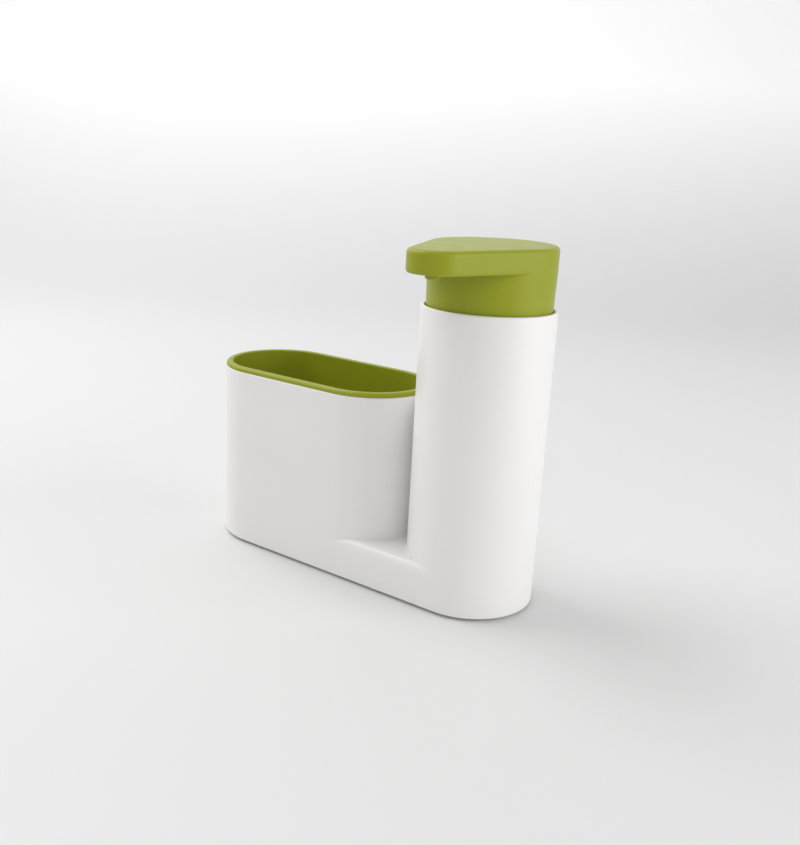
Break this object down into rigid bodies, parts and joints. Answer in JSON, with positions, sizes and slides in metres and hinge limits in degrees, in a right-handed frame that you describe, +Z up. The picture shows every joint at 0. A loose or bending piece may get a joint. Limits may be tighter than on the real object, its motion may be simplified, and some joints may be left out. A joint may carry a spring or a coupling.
{
  "type": "soap pump caddy",
  "caption": "Free-standing sink caddy: an oblong pot with a lift-out drained liner beside a round soap tower whose broad press head ends in a teardrop spout.",
  "frame": {"origin": "on the ground under the middle of the plinth", "axes": "+X along the caddy from the pot to the tower, -Y towards the spout, +Z up"},
  "size_m": [0.21, 0.0995, 0.1917],
  "materials": {
    "white_abs": "satin moulded",
    "green_pp": "fine satin moulded",
    "white_pp": "moulded",
    "natural_pp": "natural, slightly translucent",
    "clear_pe": "blown, translucent",
    "grey_rubber": "matt",
    "steel": "bright"
  },
  "bodies": {
    "caddy": {"body_shell": "white_abs", "base_plate": "white_abs", "base_screws": "steel", "foot_ring": "grey_rubber"},
    "liner": {"liner_pot": "green_pp"},
    "bottle": {"soap_bottle": "clear_pe"},
    "pump": {"pump_cylinder": "natural_pp", "neck_gasket": "grey_rubber", "cylinder_cap": "natural_pp", "valve_cage": "natural_pp", "dip_tube": "clear_pe", "return_spring": "steel"},
    "collar": {"pump_collar": "white_pp"},
    "plunger": {"pump_stem": "white_pp", "piston": "white_pp"},
    "head": {"press_head": "green_pp", "spout_duct": "natural_pp", "nozzle_tip": "green_pp", "spout_underplate": "green_pp"},
    "inlet_valve": {"inlet_ball": "steel"},
    "outlet_valve": {"outlet_ball": "steel"}
  },
  "joints": [
    {"name": "head_press", "type": "slide", "parent": "pump", "child": "plunger", "axis": [0, 0, -1], "range_m": [0, 0.014], "stiffness_N_per_m": 800, "springref_m": -0.005, "deforming": ["return_spring"]},
    {"name": "head_turn", "type": "hinge", "parent": "plunger", "child": "head", "pos_m": [0.07, 0, 0.1706], "axis": [0, 0, 1], "continuous": true},
    {"name": "liner_lift", "type": "slide", "parent": "caddy", "child": "liner", "axis": [0, 0, 1], "range_m": [0, 0.1]},
    {"name": "bottle_lift", "type": "slide", "parent": "caddy", "child": "bottle", "axis": [0, 0, 1], "range_m": [0, 0.15]},
    {"name": "collar_turn", "type": "hinge", "parent": "pump", "child": "collar", "pos_m": [0.07, 0, 0.1406], "axis": [0, 0, 1], "range_deg": [0, 540]},
    {"name": "pump_rise", "type": "slide", "parent": "bottle", "child": "pump", "axis": [0, 0, 1], "range_m": [0, 0.0045]},
    {"name": "inlet_lift", "type": "slide", "parent": "pump", "child": "inlet_valve", "axis": [0, 0, 1], "range_m": [0, 0.0019]},
    {"name": "outlet_lift", "type": "slide", "parent": "plunger", "child": "outlet_valve", "axis": [0, 0, 1], "range_m": [0, 0.0019]}
  ],
  "couplings": [
    {"joint": "pump_rise", "follows": "collar_turn", "m_per_rad": 0.00047746}
  ]
}
